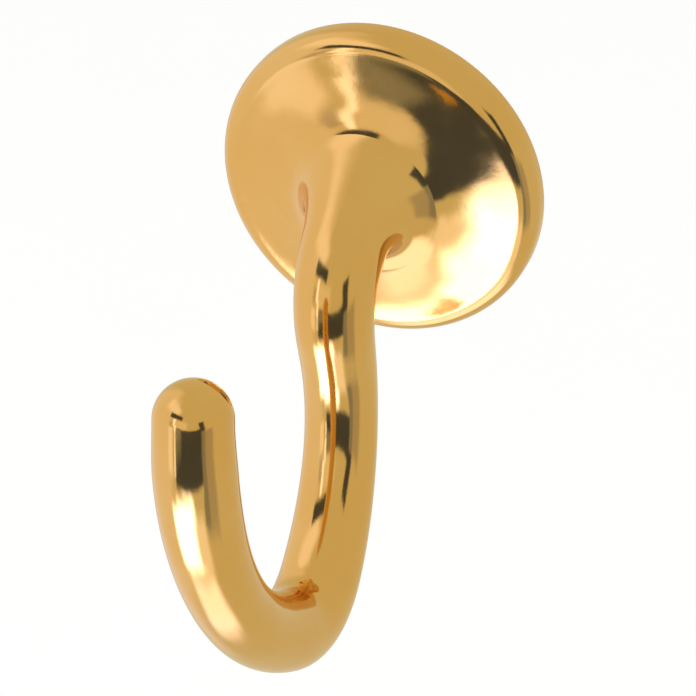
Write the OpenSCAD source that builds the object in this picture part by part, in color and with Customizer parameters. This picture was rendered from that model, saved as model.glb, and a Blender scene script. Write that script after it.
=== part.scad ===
// One-piece coat hook: a round rose that flares into a neck, a shank, a U-bend and a full, round tip.
// The origin is the centre of the rose's back face. +Y points into the wall and +Z points up.

/* [Rose] */
// Diameter of the rose
rose_d = 30; // [26:0.5:38]
// Thickness of the rose at its edge
rose_edge = 3.4; // [2.8:0.1:4.4]
// Radius of the rounding at the front of the edge
edge_r = 2.1; // [1:0.1:2.2]
// Radius of the small rounding at the back of the edge
back_edge_r = 0.5; // [0.2:0.1:0.6]
// Slope of the face beside the rounded edge, in degrees from the wall
face_slope = 9; // [5:1:14]
// Radius of the slow hollow curve of the face
face_r = 24; // [20:1:40]

/* [Fixing] */
// Diameter of the tapped hole in the back, before its thread is cut (M4)
fixing_d = 3.3; // [2.5:0.1:4.2]
// Depth of the tapped hole
fixing_depth = 7; // [4:0.5:8]

/* [Neck] */
// Diameter that the flare narrows to
neck_d = 7.6; // [6.6:0.1:8]
// Radius of the flare between the rose's face and the neck
flare_r = 6.5; // [6.1:0.1:7.5]
// The neck starts to turn down this far before the end of the flare
turn_lead = 5.4; // [4:0.1:5.4]
// Radius of the turn from the rose down into the shank, at the middle of the bar
neck_bend_r = 8.4; // [7.6:0.1:11]
// How far the shank leans back towards the wall, in degrees
shank_lean = 3; // [0:0.5:8]

/* [Shank] */
// Diameter of the shank
shank_d = 6.5; // [5:0.1:7.4]
// Length of the straight stretch of the shank
shank_length = 2; // [0.4:0.2:16]
// Radius of the slow curve between the shank and the bend
shank_curve_r = 21.5; // [16:0.5:45]
// Turn of that curve, in degrees
shank_curve = 54.5; // [20:0.5:60]

/* [Bend] */
// Radius of the bend at the bottom, at the middle of the bar
bend_r = 6.7; // [6:0.1:14]
// Turn of the bend, in degrees
bend_turn = 70.5; // [60:0.5:100]
// Diameter of the bar at the bottom of the bend, where it is fullest
bend_d = 7.2; // [6:0.1:9]

/* [Arm] */
// Diameter of the arm where it is slimmest
arm_d = 6.5; // [5:0.1:8]
// Radius of the slow curve of the arm
arm_curve_r = 26.5; // [18:0.5:60]
// Turn of that curve, in degrees
arm_curve = 73.5; // [40:0.5:80]

/* [Tip] */
// Diameter of the tip where it is fullest, a little before its end
tip_d = 6.8; // [6:0.1:9]
// Distance from there to where the round end starts
tip_length = 5; // [3:0.5:8]
// Diameter where the round end starts
tip_end_d = 6.5; // [5:0.1:7]

/* [Hidden] */

brass = [0.83, 0.64, 0.33];
rose_facets = 144;
bar_sides = 40;    // facets around the bar
ring_gap = 1.1;    // distance between rings along the bar
tip_rings = 8;     // rings in the round end
neck_lip = 0.04;   // the flare is larger than the bar by this much all round, where the bar leaves it
bar_inset = 0.3;   // the bar starts this far inside the flare
slim_share = 0.3;  // the shank is slimmest this far along its curve
arm_share = 0.45;  // the arm is slimmest this far along its curve
cut_past = 1;      // the fixing hole's cutter stands this far out of the back

rose_r = rose_d / 2;
neck_r = neck_d / 2 + neck_lip;

// The rose's section is drawn as [distance from the axis, distance from the wall]. Its face is a rounded
// edge, a slow hollow curve and a flare, each tangent to the next. The bar takes over part of the way up
// the flare, and turns down while it still narrows.
function face_normal(slope) = [sin(slope), cos(slope)];
edge_c = [rose_r - edge_r, rose_edge - edge_r];
face_start = edge_c + edge_r * face_normal(face_slope);
face_c = face_start + face_r * face_normal(face_slope);
flare_slope = asin((face_c[0] - neck_r - flare_r) / (face_r - flare_r));
flare_c = face_c - (face_r - flare_r) * face_normal(flare_slope);
face_end = flare_c - flare_r * face_normal(flare_slope);
lead = min(turn_lead, flare_c[1] - face_end[1] - 1.2 * bar_inset);
turn_start = flare_c[1] - lead;

// What the flare adds to the bar's radius at a distance along its middle line from the wall.
function flare_extra(along) =
    let (left = max(flare_c[1] - along, 0)) flare_r - sqrt(flare_r * flare_r - left * left);

// The bar's middle line lies in the plane x = 0 and starts straight out from the wall. It is a row of
// runs, each [length, turn]: a turn above zero bends it down and back to the wall, and one below zero
// bends it out and up.
neck_turn = 90 + shank_lean;
RUNS = [
    [bar_inset, 0],
    [arc_length(neck_bend_r, neck_turn), neck_turn],
    [shank_length, 0],
    [arc_length(shank_curve_r, shank_curve), -shank_curve],
    [arc_length(bend_r, bend_turn / 2), -bend_turn / 2],
    [arc_length(bend_r, bend_turn / 2), -bend_turn / 2],
    [arc_length(arm_curve_r, arm_curve), -arm_curve],
];
run_ends = running_sum([for (run = RUNS) run[0]]);

// The bar's diameter at stations along it: [distance along the bar, diameter].
STATIONS = [
    [0, neck_d],
    [between(run_ends[3], run_ends[4], slim_share), shank_d],
    [run_ends[5], bend_d],
    [between(run_ends[6], run_ends[7], arm_share), arm_d],
    [run_ends[7] - tip_length, tip_d],
    [run_ends[7], tip_end_d],
];

function arc_length(radius, turn) = radius * turn * PI / 180;
function between(a, b, share) = a + (b - a) * share;

// Sums of the list's first 0, 1, 2 ... values, so it has one value more than the list.
function running_sum(values) =
    [for (i = 0, total = 0; i <= len(values); total = total + (i < len(values) ? values[i] : 0), i = i + 1) total];

// A value that eases from a to b as share goes from 0 to 1, with no corner at either end.
function ease(a, b, share) = between(a, b, (1 - cos(180 * share)) / 2);

function bar_d(along, i = 0) =
    i + 2 < len(STATIONS) && along > STATIONS[i + 1][0]
    ? bar_d(along, i + 1)
    : ease(STATIONS[i][1], STATIONS[i + 1][1],
           (along - STATIONS[i][0]) / max(STATIONS[i + 1][0] - STATIONS[i][0], 0.001));

// The runs cut into short steps, each [length, turn].
steps = [for (run = RUNS) let (n = max(1, ceil(run[0] / ring_gap))) for (i = [1:n]) run / n];
step_ends = running_sum([for (s = steps) s[0]]);
headings = running_sum([for (s = steps) s[1]]);

// Each step is a chord of its arc, so the rings lie on the true curve.
function chord(s) = s[1] == 0 ? s[0] : s[0] * sin(abs(s[1]) / 2) / (abs(s[1]) / 2 * PI / 180);
chords = [for (i = [0:len(steps) - 1])
    chord(steps[i]) * [cos(headings[i] + steps[i][1] / 2), sin(headings[i] + steps[i][1] / 2)]];
outward = running_sum([for (c = chords) c[0]]);
downward = running_sum([for (c = chords) c[1]]);

// Rings as [distance from the wall, distance down, heading, radius], and then those of the round tip.
bar_rings = [for (i = [0:len(steps)])
    let (from_wall = turn_start - bar_inset)
    [from_wall + outward[i], downward[i], headings[i],
     bar_d(step_ends[i]) / 2 + flare_extra(from_wall + step_ends[i])]];
bar_end = bar_rings[len(bar_rings) - 1];
tip_ring_list = [for (i = [1:tip_rings - 1]) let (a = 90 * i / tip_rings)
    [bar_end[0] + bar_end[3] * sin(a) * cos(bar_end[2]), bar_end[1] + bar_end[3] * sin(a) * sin(bar_end[2]),
     bar_end[2], bar_end[3] * cos(a)]];
all_rings = concat(bar_rings, tip_ring_list);

function ring_point(ring, a) =
    [ring[3] * sin(a), -ring[0] + ring[3] * cos(a) * sin(ring[2]), -ring[1] - ring[3] * cos(a) * cos(ring[2])];

module rose_section() {
    back_c = [rose_r - back_edge_r, back_edge_r];
    flare_top = [neck_r + flare_extra(turn_start), turn_start];
    difference() {
        union() {
            polygon([[0, 0], [back_c[0], 0], back_c, [rose_r, back_c[1]], [rose_r, edge_c[1]], edge_c,
                     face_start, face_end, flare_top, [0, turn_start]]);
            translate(edge_c)
                intersection() {
                    circle(r = edge_r, $fn = rose_facets);
                    square(edge_r);
                }
            translate(back_c) circle(r = back_edge_r, $fn = rose_facets);
        }
        intersection() {
            translate(face_c) circle(r = face_r, $fn = 4 * rose_facets);
            translate([face_end[0], 0]) square([face_start[0] - face_end[0], turn_start]);
        }
        translate(flare_c) circle(r = flare_r, $fn = rose_facets);
    }
}

module rose() {
    rotate([90, 0, 0])
        rotate_extrude($fn = rose_facets)
            rose_section();
}

module bar() {
    n = len(all_rings);
    tip = n * bar_sides;
    points = concat(
        [for (ring = all_rings) for (j = [0:bar_sides - 1]) ring_point(ring, 360 * j / bar_sides)],
        [[0, -bar_end[0] - bar_end[3] * cos(bar_end[2]), -bar_end[1] - bar_end[3] * sin(bar_end[2])]]);
    sides = [for (i = [0:n - 2]) for (j = [0:bar_sides - 1])
        let (k = (j + 1) % bar_sides)
        [i * bar_sides + j, (i + 1) * bar_sides + j, (i + 1) * bar_sides + k, i * bar_sides + k]];
    round_end = [for (j = [0:bar_sides - 1]) [(n - 1) * bar_sides + j, tip, (n - 1) * bar_sides + (j + 1) % bar_sides]];
    flat_end = [[for (j = [0:bar_sides - 1]) j]];
    polyhedron(points, concat(sides, round_end, flat_end), convexity = 6);
}

module fixing_hole() {
    rotate([90, 0, 0])
        translate([0, 0, -cut_past])
            cylinder(d = fixing_d, h = fixing_depth + cut_past, $fn = 64);
}

module hook() {
    color(brass)
        difference() {
            union() {
                rose();
                bar();
            }
            fixing_hole();
        }
}

hook();
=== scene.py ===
import math

import bmesh
import bpy
from mathutils import Matrix, Vector


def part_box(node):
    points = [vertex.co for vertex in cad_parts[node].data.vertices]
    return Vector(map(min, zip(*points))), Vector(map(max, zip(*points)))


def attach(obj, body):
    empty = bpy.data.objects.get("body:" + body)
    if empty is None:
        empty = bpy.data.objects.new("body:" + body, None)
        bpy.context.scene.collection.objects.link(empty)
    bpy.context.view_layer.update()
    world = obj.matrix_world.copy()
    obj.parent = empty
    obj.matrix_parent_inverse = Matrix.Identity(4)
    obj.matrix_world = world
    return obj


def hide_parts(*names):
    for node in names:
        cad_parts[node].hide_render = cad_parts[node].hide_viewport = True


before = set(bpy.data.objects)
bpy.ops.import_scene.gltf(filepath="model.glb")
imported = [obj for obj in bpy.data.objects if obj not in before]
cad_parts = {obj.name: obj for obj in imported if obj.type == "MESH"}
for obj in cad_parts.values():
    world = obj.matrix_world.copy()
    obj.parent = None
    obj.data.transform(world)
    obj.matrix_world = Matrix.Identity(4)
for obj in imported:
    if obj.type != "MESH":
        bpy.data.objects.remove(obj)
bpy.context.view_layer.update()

mm = 0.001
hookLow, hookHigh = [Vector(corner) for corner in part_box("hook")]
roseRadius = (hookHigh.x - hookLow.x) / 2
wallY = hookHigh.y  # the rose's flat back lies on the wall
print("frame loaded: rose radius", round(roseRadius / mm, 2), "mm")


def startClean():
    # an operator acts on all that is selected, so nothing may be left over
    if bpy.context.object and bpy.context.object.mode != "OBJECT":
        bpy.ops.object.mode_set(mode="OBJECT")
    bpy.ops.object.select_all(action="DESELECT")


def pickVertices(test):
    # selects the vertices whose place passes the test, and drops all others
    mesh = bmesh.from_edit_mesh(bpy.context.object.data)
    bpy.ops.mesh.select_all(action="DESELECT")
    for vertex in mesh.verts:
        vertex.select = bool(test(vertex.co))
    mesh.select_flush(True)
    bmesh.update_edit_mesh(bpy.context.object.data)


def easedBetween(low, high, share):
    return low + (high - low) * (1 - math.cos(math.pi * share)) / 2


# lengths are in metres and angles in degrees, here and below
castHook = {
    "sides": 128,
    "edgeThickness": 3.4 * mm,
    "edgeRounding": 2.1 * mm,
    "backRounding": 0.5 * mm,
    "faceSlope": 9,  # from the wall, beside the rounded edge
    "faceRadius": 24 * mm,
    "flareRadius": 6.5 * mm,
    "neckDiameter": 7.6 * mm,
    "neckLip": 0.04 * mm,  # added to the neck's radius, as on the solid
    "turnLead": 5.4 * mm,  # the neck starts to turn down this far before the flare ends
    "neckBendRadius": 8.4 * mm,
    "shankLean": 3,  # back towards the wall
    "shankDiameter": 6.5 * mm,
    "shankLength": 2 * mm,
    "shankCurveRadius": 21.5 * mm,
    "shankCurve": 54.5,
    "bendRadius": 6.7 * mm,
    "bend": 70.5,
    "bendDiameter": 7.2 * mm,
    "armDiameter": 6.5 * mm,
    "armCurveRadius": 26.5 * mm,
    "armCurve": 73.5,
    "tipDiameter": 6.8 * mm,
    "tipLength": 5 * mm,
    "tipEndDiameter": 6.5 * mm,
    "slimShare": 0.3,  # the shank is slimmest this far along its curve
    "armShare": 0.45,  # and the arm this far along its own
    "ringGap": 0.7 * mm,
    "backRings": 6,
    "edgeRings": 18,
    "faceRings": 18,
    "flareRings": 10,
    "tipRings": 17,
    "lastRing": 0.01,  # of the tip's radius, before the ring closes to a point
    "mergeWithin": 0.0005 * mm,
    "smoothUnder": 40,
}

tappedHole = {
    "tapDiameter": 3.3 * mm,
    "threadDiameter": 4.04 * mm,  # of the bore, which the ridge narrows to the tapping size
    "depth": 7 * mm,
    "drillPoint": 0.9 * mm,
    "mouthChamfer": 0.35 * mm,
    "pitch": 0.7 * mm,
    "turns": 8,
    "runOut": 0.7 * mm,  # the thread stops this far from the hole's floor
    "footDepth": 0.04 * mm,  # the ridge's foot stands this deep in the bore's wall
    "footShare": 0.46,  # of the pitch, to each side of the ridge's middle
    "steps": 36,  # in each turn
    "mergeWithin": 0.001 * mm,
}


def arcPoints(centre, radius, fromAngle, toAngle, count):
    # angles turn from the way out of the axis to the way off the wall
    points = []
    for index in range(1, count + 1):
        angle = math.radians(fromAngle + (toAngle - fromAngle) * index / count)
        points.append((centre[0] + radius * math.cos(angle), centre[1] + radius * math.sin(angle)))
    return points


def roseSection(rose, hole):
    # from the chamfer at the hole's mouth round to the top of the flare, as (from the axis, from the wall)
    rounding = rose["edgeRounding"]
    backRounding = rose["backRounding"]
    neckRadius = rose["neckDiameter"] / 2 + rose["neckLip"]
    slope = math.radians(rose["faceSlope"])
    edgeCentre = (roseRadius - rounding, rose["edgeThickness"] - rounding)
    reach = rounding + rose["faceRadius"]
    faceCentre = (edgeCentre[0] + reach * math.sin(slope), edgeCentre[1] + reach * math.cos(slope))
    flareReach = rose["faceRadius"] - rose["flareRadius"]
    flareSlope = math.asin((faceCentre[0] - neckRadius - rose["flareRadius"]) / flareReach)
    flareCentre = (faceCentre[0] - flareReach * math.sin(flareSlope),
                   faceCentre[1] - flareReach * math.cos(flareSlope))
    threadRadius = hole["threadDiameter"] / 2
    section = [(threadRadius, hole["mouthChamfer"])]
    section.append((threadRadius + hole["mouthChamfer"], 0))
    section.append((roseRadius - backRounding, 0))
    section += arcPoints((roseRadius - backRounding, backRounding), backRounding, -90, 0,
                         rose["backRings"])
    section.append((roseRadius, edgeCentre[1]))
    section += arcPoints(edgeCentre, rounding, 0, 90 - rose["faceSlope"], rose["edgeRings"])
    section += arcPoints(faceCentre, rose["faceRadius"], -90 - rose["faceSlope"],
                         -90 - math.degrees(flareSlope), rose["faceRings"])
    turnAngle = math.degrees(math.asin(rose["turnLead"] / rose["flareRadius"]))
    section += arcPoints(flareCentre, rose["flareRadius"], -90 - math.degrees(flareSlope),
                         turnAngle - 180, rose["flareRings"])
    return section


def barLine(bar, start):
    # the bar's middle line as rows of (out from the wall, down, lean, radius); it takes over part of the
    # way up the flare, so it still narrows while it turns down
    runs = [(bar["neckBendRadius"], 90 + bar["shankLean"]),
            (bar["shankLength"], 0),
            (bar["shankCurveRadius"], -bar["shankCurve"]),
            (bar["bendRadius"], -bar["bend"] / 2),
            (bar["bendRadius"], -bar["bend"] / 2),
            (bar["armCurveRadius"], -bar["armCurve"])]
    lengths = [size * math.radians(abs(turn)) if turn else size for size, turn in runs]
    ends = [sum(lengths[:count]) for count in range(len(lengths) + 1)]
    stations = [(0, bar["neckDiameter"] + 2 * bar["neckLip"]),
                (ends[2] + bar["slimShare"] * lengths[2], bar["shankDiameter"]),
                (ends[4], bar["bendDiameter"]),
                (ends[5] + bar["armShare"] * lengths[5], bar["armDiameter"]),
                (ends[6] - bar["tipLength"], bar["tipDiameter"]),
                (ends[6], bar["tipEndDiameter"])]

    def radiusAt(along):
        left = max(bar["turnLead"] - along, 0)
        extra = bar["flareRadius"] - math.sqrt(bar["flareRadius"] ** 2 - left ** 2)
        for (low, lowSize), (high, highSize) in zip(stations, stations[1:]):
            if along <= high or high == ends[6]:
                return easedBetween(lowSize, highSize, min(1, (along - low) / (high - low))) / 2 + extra

    out, down, lean, along = start, 0, 0, 0
    rows = []
    for (size, turn), length in zip(runs, lengths):
        count = max(2, math.ceil(length / bar["ringGap"]))
        step, stepTurn = length / count, math.radians(turn) / count
        chord = step if not turn else step * math.sin(abs(stepTurn) / 2) / (abs(stepTurn) / 2)
        for index in range(count):
            out += chord * math.cos(lean + stepTurn / 2)
            down += chord * math.sin(lean + stepTurn / 2)
            lean += stepTurn
            along += step
            rows.append((out, down, lean, radiusAt(along)))
    # the round end
    out, down, lean, radius = rows[-1]
    for index in range(1, bar["tipRings"]):
        angle = math.pi / 2 * index / bar["tipRings"]
        rows.append((out + radius * math.sin(angle) * math.cos(lean),
                     down + radius * math.sin(angle) * math.sin(lean), lean, radius * math.cos(angle)))
    rows.append((out + radius * math.cos(lean), down + radius * math.sin(lean), lean,
                 radius * bar["lastRing"]))
    return rows


leastGrowth = 1e-6  # a ring that changes less than this is only moved
leastTurn = 1e-7


class RingGrower:
    # keeps the size, lean and middle of the ring of edges that is selected, and grows the next one from it
    def __init__(self, centre, radius):
        self.centre, self.radius, self.lean = centre, radius, 0

    def grow(self, centre, radius, lean=0):
        bpy.ops.mesh.extrude_region_move()
        growth = radius / self.radius
        if abs(growth - 1) > leastGrowth:
            bpy.ops.transform.resize(value=(growth, growth, growth), center_override=self.centre)
        turn = lean - self.lean
        if abs(turn) > leastTurn:
            bpy.ops.transform.rotate(value=-turn, orient_axis="X", center_override=self.centre)
        bpy.ops.transform.translate(value=centre - self.centre)
        self.centre, self.radius, self.lean = centre, radius, lean


def makeCastHook(bar, hole):
    startClean()
    floorCentre = Vector((0, wallY - hole["depth"], 0))
    threadRadius = hole["threadDiameter"] / 2
    bpy.ops.mesh.primitive_circle_add(vertices=bar["sides"], radius=threadRadius, fill_type="TRIFAN",
                                      location=floorCentre, rotation=(math.pi / 2, 0, 0))
    hook = bpy.context.object
    hook.name = "castHook"
    bpy.ops.object.transform_apply(location=True, rotation=True, scale=True)
    bpy.ops.object.mode_set(mode="EDIT")
    bpy.ops.mesh.select_mode(type="VERT")
    pickVertices(lambda place: (place - floorCentre).length < threadRadius / 2)
    bpy.ops.transform.translate(value=(0, -hole["drillPoint"], 0))
    pickVertices(lambda place: math.hypot(place.x, place.z) > threadRadius / 2)
    bpy.ops.mesh.select_mode(type="EDGE")
    bpy.ops.mesh.region_to_loop()
    print("cast hook: hole floor ready")

    ring = RingGrower(floorCentre, threadRadius)
    section = roseSection(bar, hole)
    for radius, out in section:
        ring.grow(Vector((0, wallY - out, 0)), radius)
    print("cast hook: rose and flare grown,", len(section), "rings")

    rows = barLine(bar, section[-1][1])
    for out, down, lean, radius in rows:
        ring.grow(Vector((0, wallY - out, -down)), radius, lean)
    bpy.ops.mesh.merge(type="CENTER")
    print("cast hook: bar grown,", len(rows), "rings")

    bpy.ops.mesh.select_all(action="SELECT")
    bpy.ops.mesh.remove_doubles(threshold=bar["mergeWithin"])
    bpy.ops.mesh.normals_make_consistent(inside=False)
    bpy.ops.object.mode_set(mode="OBJECT")
    return hook


def makeThread(hole):
    # a closed screw-shaped ridge: its crest is at the tapping size and its foot stands in the bore's wall
    startClean()
    crest = hole["tapDiameter"] / 2
    foot = hole["threadDiameter"] / 2 + hole["footDepth"]
    middle = (foot, wallY - hole["depth"] + hole["runOut"], 0)
    corners = 3  # of the ridge's section
    bpy.ops.mesh.primitive_circle_add(vertices=corners, radius=foot - crest, fill_type="NOTHING",
                                      location=middle, rotation=(0, 0, math.pi / 2))
    thread = bpy.context.object
    thread.name = "thread"
    bpy.ops.object.transform_apply(location=True, rotation=True, scale=True)
    bpy.ops.object.mode_set(mode="EDIT")
    bpy.ops.mesh.select_mode(type="VERT")
    pickVertices(lambda place: place.x > (crest + foot) / 2)
    spread = hole["footShare"] * hole["pitch"] / ((foot - crest) * math.sin(math.pi / corners))
    bpy.ops.transform.resize(value=(0, spread, 1), center_override=middle)
    bpy.ops.object.mode_set(mode="OBJECT")

    screw = thread.modifiers.new("screw", "SCREW")
    screw.axis = "Y"
    screw.angle = 2 * math.pi
    screw.screw_offset = hole["pitch"]
    screw.iterations = hole["turns"]
    screw.steps = screw.render_steps = hole["steps"]
    screw.use_merge_vertices = True
    screw.merge_threshold = hole["mergeWithin"]
    bpy.ops.object.modifier_apply(modifier=screw.name)
    bpy.ops.object.mode_set(mode="EDIT")
    bpy.ops.mesh.select_all(action="SELECT")
    bpy.ops.mesh.fill_holes(sides=corners)
    bpy.ops.mesh.select_all(action="SELECT")
    bpy.ops.mesh.normals_make_consistent(inside=False)
    bpy.ops.object.mode_set(mode="OBJECT")
    return thread


hook = makeCastHook(castHook, tappedHole)
thread = makeThread(tappedHole)
startClean()
thread.select_set(True)
hook.select_set(True)
bpy.context.view_layer.objects.active = hook
bpy.ops.object.join()
bpy.ops.object.shade_smooth_by_angle(angle=math.radians(castHook["smoothUnder"]))
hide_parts("hook")
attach(hook, "root")
print("cast hook: thread joined in")


class Flow:
    # a socket that can be added, taken away and multiplied like a number
    def __init__(self, tree, socket):
        self.tree, self.socket = tree, socket

    def calc(self, operation, *values):
        step = self.tree.nodes.new("ShaderNodeMath")
        step.operation = operation
        for slot, value in zip(step.inputs, values):
            if isinstance(value, Flow):
                self.tree.links.new(value.socket, slot)
            else:
                slot.default_value = value
        return Flow(self.tree, step.outputs[0])

    def __add__(self, other):
        return self.calc("ADD", self, other)

    def __radd__(self, other):
        return self.calc("ADD", other, self)

    def __sub__(self, other):
        return self.calc("SUBTRACT", self, other)

    def __rsub__(self, other):
        return self.calc("SUBTRACT", other, self)

    def __mul__(self, other):
        return self.calc("MULTIPLY", self, other)

    def __rmul__(self, other):
        return self.calc("MULTIPLY", other, self)


class Shader:
    # one method adds any node, from its type, its settings and the values or flows of its sockets
    def __init__(self, owner):
        owner.use_nodes = True
        self.tree = owner.node_tree
        self.tree.nodes.clear()

    def add(self, kind, settings=None, sockets=None, out=0):
        node = self.tree.nodes.new("ShaderNode" + kind)
        for name, value in (settings or {}).items():
            setattr(node, name, value)
        for name, value in (sockets or {}).items():
            if isinstance(value, Flow):
                self.tree.links.new(value.socket, node.inputs[name])
            else:
                node.inputs[name].default_value = value
        if len(node.outputs):
            return Flow(self.tree, node.outputs[out])

    def band(self, value, low, high):
        # 0 below low, 1 above high, and a smooth rise between
        return self.add("MapRange", {"interpolation_type": "SMOOTHSTEP"},
                        {"Value": value, "From Min": low, "From Max": high})

    def mixColour(self, share, first, second):
        # a Mix node has its colours at sockets 6 and 7, and its colour result at 2
        return self.add("Mix", {"data_type": "RGBA"}, {0: share, 6: first, 7: second}, 2)

    def noise(self, place, scale, detail, roughness=0.5):
        return self.add("TexNoise", {}, {"Vector": place, "Scale": scale, "Detail": detail,
                                         "Roughness": roughness}, "Fac")


polishedBrass = {
    "colour": (0.8, 0.485, 0.15, 1),
    "warmColour": (0.79, 0.46, 0.13, 1),
    "paleColour": (0.81, 0.51, 0.175, 1),
    "patchSize": 9 * mm,
    "patchEdges": (0.35, 0.65),
    "evenShare": 0.4,  # how far the patches are evened out
    "waveSize": 6 * mm,
    "waveHeight": 0.09 * mm,
    "dentSize": 1.6 * mm,
    "dentHeight": 0.007 * mm,
    "hairlineSize": 0.12 * mm,
    "hairlineStretch": 0.08,
    "hairlineHeight": 0.0012 * mm,
    "roughness": 0.07,
    "hairlineRoughness": 0.03,
    "dullSize": 2.2 * mm,
    "dullEdges": (0.45, 0.75),
    "dullRoughness": 0.05,
    "backRoughness": 0.3,
    "backEdges": (0.12 * mm, 0.04 * mm),  # how far from the wall the ground back begins, and is full
}


def makePolishedBrass(values):
    material = bpy.data.materials.new("polishedBrass")
    shader = Shader(material)
    place = shader.add("TexCoord", out="Object")
    depth = shader.add("SeparateXYZ", {}, {"Vector": place}, "Y")

    # colour: broad warm and pale patches, as hand polishing leaves
    patches = shader.noise(place, 1 / values["patchSize"], detail=3, roughness=0.55)
    patches = shader.band(patches, *values["patchEdges"])
    colour = shader.mixColour(patches, values["warmColour"], values["paleColour"])
    colour = shader.mixColour(values["evenShare"], colour, values["colour"])

    # relief: waves and small dents of the hand-polished casting, and fine buffing lines
    waves = shader.noise(place, 1 / values["waveSize"], detail=1, roughness=0.4)
    stretched = shader.add("Mapping", {}, {"Vector": place, "Scale": (1, 1, values["hairlineStretch"])})
    hairlines = shader.noise(stretched, 1 / values["hairlineSize"], detail=3, roughness=0.6)
    bump = shader.add("Bump", {}, {"Strength": 1, "Distance": values["waveHeight"], "Height": waves})
    dents = shader.noise(place, 1 / values["dentSize"], detail=3)
    bump = shader.add("Bump", {}, {"Strength": 1, "Distance": values["dentHeight"],
                                   "Height": dents, "Normal": bump})
    bump = shader.add("Bump", {}, {"Strength": 1, "Distance": values["hairlineHeight"],
                                   "Height": hairlines, "Normal": bump})

    # roughness: buffed all over, duller where wiping missed, and only ground on the back
    dull = shader.noise(place, 1 / values["dullSize"], detail=4, roughness=0.6)
    dull = shader.band(dull, *values["dullEdges"])
    backStart, backFull = values["backEdges"]
    onBack = shader.band(depth, wallY - backStart, wallY - backFull)
    roughness = values["roughness"] + values["dullRoughness"] * dull
    roughness = roughness + values["hairlineRoughness"] * hairlines
    roughness = roughness + values["backRoughness"] * onBack

    surface = shader.add("BsdfPrincipled", {}, {"Base Color": colour, "Metallic": 1,
                                                "Roughness": roughness, "Normal": bump})
    shader.add("OutputMaterial", {}, {"Surface": surface})
    return material


hook.data.materials.clear()
hook.data.materials.append(makePolishedBrass(polishedBrass))
print("polished brass ready")


cameraSet = {
    "azimuth": 24.95,
    "elevation": 32.07,
    "roll": 5.47,
    "distance": 227.7 * mm,
    "target": Vector((3.37, -18.77, -6.32)) * mm,
    "lens": 139,
    "clipStart": 0.01,
}


def wayTo(azimuth, elevation):
    # azimuth 0 is straight out from the wall and 90 is to the right
    azimuth, elevation = math.radians(azimuth), math.radians(elevation)
    return Vector((math.sin(azimuth) * math.cos(elevation), -math.cos(azimuth) * math.cos(elevation),
                   math.sin(elevation)))


def makeCamera(values):
    startClean()
    back = wayTo(values["azimuth"], values["elevation"])
    turn = back.to_track_quat("Z", "Y").to_matrix() @ Matrix.Rotation(-math.radians(values["roll"]), 3, "Z")
    bpy.ops.object.camera_add(location=values["target"] + back * values["distance"],
                              rotation=turn.to_euler())
    camera = bpy.context.object
    camera.data.lens = values["lens"]
    camera.data.clip_start = values["clipStart"]
    bpy.context.scene.camera = camera


floorPlan = {
    "below": 130 * mm,  # under the lowest point of the hook
    "size": 6,
    "colour": (0.985, 0.985, 0.985, 1),
    "grainColour": (0.975, 0.975, 0.975, 1),
    "grainScale": 30,
    "roughness": 0.6,
}


def makeFloor(values):
    startClean()
    middle = (hookLow + hookHigh) / 2
    bpy.ops.mesh.primitive_plane_add(size=values["size"],
                                     location=(middle.x, middle.y, hookLow.z - values["below"]))
    floor = bpy.context.object
    floor.name = "floor"
    bpy.ops.object.transform_apply(location=True, rotation=True, scale=True)
    material = bpy.data.materials.new("paleFloor")
    shader = Shader(material)
    grain = shader.noise(shader.add("TexCoord", out="Object"), values["grainScale"], detail=4)
    colour = shader.mixColour(grain, values["colour"], values["grainColour"])
    surface = shader.add("BsdfPrincipled", {}, {"Base Color": colour, "Roughness": values["roughness"]})
    shader.add("OutputMaterial", {}, {"Surface": surface})
    floor.data.materials.append(material)
    floor.visible_glossy = False  # the brass shows the studio around it instead


studio = {
    "level": 1,  # light from all round
    "around": "sand",
    "wobble": 0.1,  # how far the panels' edges wander, in radians
    "wobbleScale": 2.5,
    # what the brass shows: azimuth, elevation, width, height, softness and tone
    "panels": {
        "leftWall": (-82, 0, 90, 130, 12, "pale"),
        "leftCeiling": (-52, 46, 46, 22, 7, "bright"),
        "softTop": (-8, 14, 34, 22, 5, "pale"),
        "softLeft": (-37, -7, 13, 18, 3, "bright"),
        "gap": (-37, 11, 8, 13, 2, "brown"),
        "stripLow": (-23, -7, 3, 14, 1, "cream"),
        "stripMid": (-25, 4, 3.5, 12, 1, "cream"),
        "stripHigh": (-29, 17, 5.5, 18, 1.5, "cream"),
        "glowEdge": (1, -26, 20, 18, 5, "cream"),
        "glowLeft": (-32, -41, 18, 20, 4, "white"),
        "glow": (-6, -42, 38, 28, 5, "white"),
        "glowBelow": (0, -74, 40, 28, 6, "cream"),
        "glowCorner": (26, -45, 22, 22, 5, "bright"),
        "dimCorner": (62, -22, 28, 36, 4, "dim"),
        "darkCard": (13, -10, 68, 24, 2, "black"),
        "dusk": (-15, -2, 13, 12, 3, "shade"),
        "darkDoor": (50, -20, 10, 34, 2, "shade"),
        "darkPost": (49, 9, 14, 24, 2, "black"),
        "darkBeam": (-26, 33, 36, 11, 2, "black"),
    },
    "tones": {
        "sand": (0.72, 0.69, 0.53),
        "pale": (0.92, 0.88, 0.86),
        "bright": (1.15, 1.12, 1.3),
        "cream": (1.7, 1.75, 2.5),
        "white": (4, 4.2, 6.5),
        "brown": (0.62, 0.58, 0.6),
        "dim": (0.48, 0.46, 0.42),
        "shade": (0.3, 0.32, 0.34),
        "black": (0.07, 0.085, 0.12),
    },
}


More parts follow.
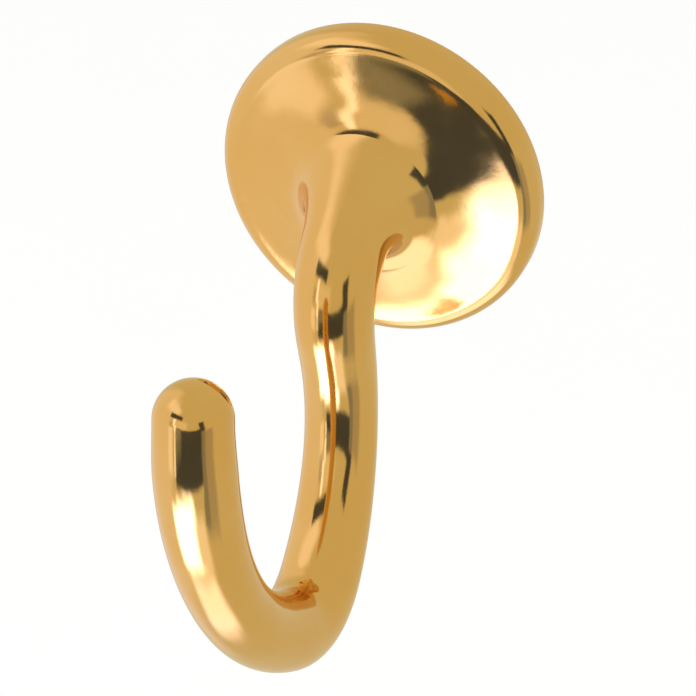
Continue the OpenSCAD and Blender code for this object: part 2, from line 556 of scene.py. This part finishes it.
def makeStudio(values):
    world = bpy.data.worlds.new("studio")
    bpy.context.scene.world = world
    world.cycles.sampling_method = "NONE"
    shader = Shader(world)
    way = shader.add("TexCoord", out="Generated")

    def along(axis):
        return shader.add("VectorMath", {"operation": "DOT_PRODUCT"}, {0: way, 1: axis}, "Value")

    def toneOf(name):
        return values["tones"][name] + (1,)

    wobble = values["wobble"] * (shader.noise(way, values["wobbleScale"], detail=2) - 0.5)

    def inside(value, size, softness):
        # 1 within the panel, 0 outside, and a smooth fall at its edge
        off = shader.add("Math", {"operation": "ABSOLUTE"}, {0: value + wobble})
        half = math.radians(size / 2)
        soft = math.radians(softness)
        return 1 - shader.band(off, half - soft, half + soft)

    colour = toneOf(values["around"])
    for azimuth, elevation, width, height, softness, tone in values["panels"].values():
        front = wayTo(azimuth, elevation)
        side = wayTo(azimuth + 90, 0)
        up = front.cross(side)
        across = shader.add("Math", {"operation": "ARCTAN2"}, {0: along(side), 1: along(front)})
        rise = shader.add("Math", {"operation": "ARCSINE"}, {0: along(up)})
        share = inside(across, width, softness) * inside(rise, height, softness)
        colour = shader.mixColour(share, colour, toneOf(tone))
    # the plain white is what the floor and the camera get, and the studio is what the brass shows
    path = shader.add("LightPath", out="Is Glossy Ray")
    plain = shader.add("Background", {}, {"Color": (values["level"],) * 3 + (1,)})
    shown = shader.add("Background", {}, {"Color": colour})
    both = shader.add("MixShader", {}, {0: path, 1: plain, 2: shown})
    shader.add("OutputWorld", {}, {"Surface": both})


softLamp = {
    "azimuth": -45,
    "elevation": 62,
    "distance": 0.7,
    "size": 0.35,
    "power": 0.35,
}


def makeLamp(values):
    startClean()
    back = wayTo(values["azimuth"], values["elevation"])
    bpy.ops.object.light_add(type="AREA", location=back * values["distance"],
                             rotation=back.to_track_quat("Z", "Y").to_euler())
    lamp = bpy.context.object
    lamp.data.size = values["size"]
    lamp.data.energy = values["power"]
    lamp.visible_camera = False
    lamp.visible_glossy = False


makeCamera(cameraSet)
makeFloor(floorPlan)
makeStudio(studio)
makeLamp(softLamp)
bpy.context.scene.view_settings.view_transform = "Standard"
print("camera, floor and studio ready")
